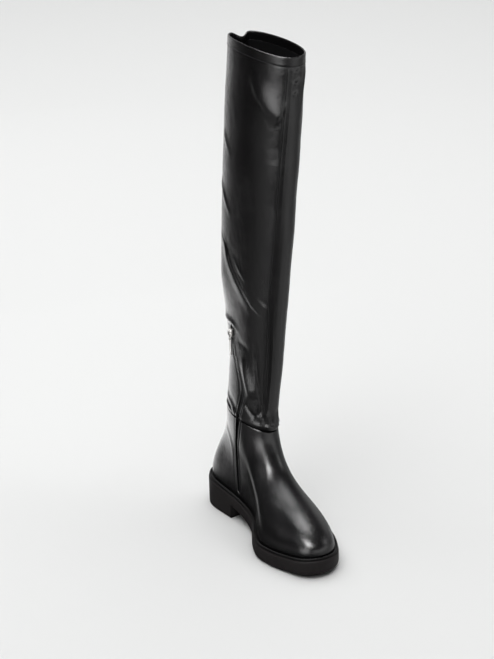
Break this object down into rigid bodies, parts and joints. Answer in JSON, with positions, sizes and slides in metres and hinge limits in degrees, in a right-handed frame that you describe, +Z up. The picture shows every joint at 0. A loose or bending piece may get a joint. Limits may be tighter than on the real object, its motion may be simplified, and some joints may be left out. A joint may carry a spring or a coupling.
{
  "type": "thigh high boot",
  "caption": "Left thigh high boot: slim stretch shaft, plain round-toed foot part, short inner ankle zip with a hanging pull tab, flat sole on a low block heel.",
  "frame": {"origin": "middle of the boot's box on the floor plane, under the sole", "axes": "+Z up, -Y towards the toe, -X towards the inner side of the leg"},
  "size_m": [0.128, 0.2896, 0.616],
  "materials": {
    "sole": "matt brownish black",
    "welt": "satin black",
    "insole": "matt black",
    "foot_leather": "smooth satin black",
    "shaft_leather": "semi-gloss, fine grain",
    "zip_tape": "woven",
    "zip_teeth": "moulded coil",
    "zip_metal": "dark silver"
  },
  "bodies": {
    "boot": {"outsole": "sole", "heel": "sole", "welt": "welt", "insole": "insole", "upper": "foot_leather", "shaft": "shaft_leather", "zip_tape": "zip_tape", "zip_teeth": "zip_teeth", "zip_slider": "zip_metal"},
    "ring": {"zip_ring": "zip_metal"},
    "pull": {"zip_pull": "zip_metal"}
  },
  "joints": [
    {"name": "ring_swing", "type": "hinge", "parent": "boot", "child": "ring", "pos_m": [-0.02316, 0.07839, 0.24349], "axis": [0.1172, 0.989, -0.0899], "range_deg": [0, 100]},
    {"name": "pull_swing", "type": "hinge", "parent": "ring", "child": "pull", "pos_m": [-0.02321, 0.0776, 0.23472], "axis": [0.1172, 0.989, -0.0899], "range_deg": [0, 75]}
  ]
}
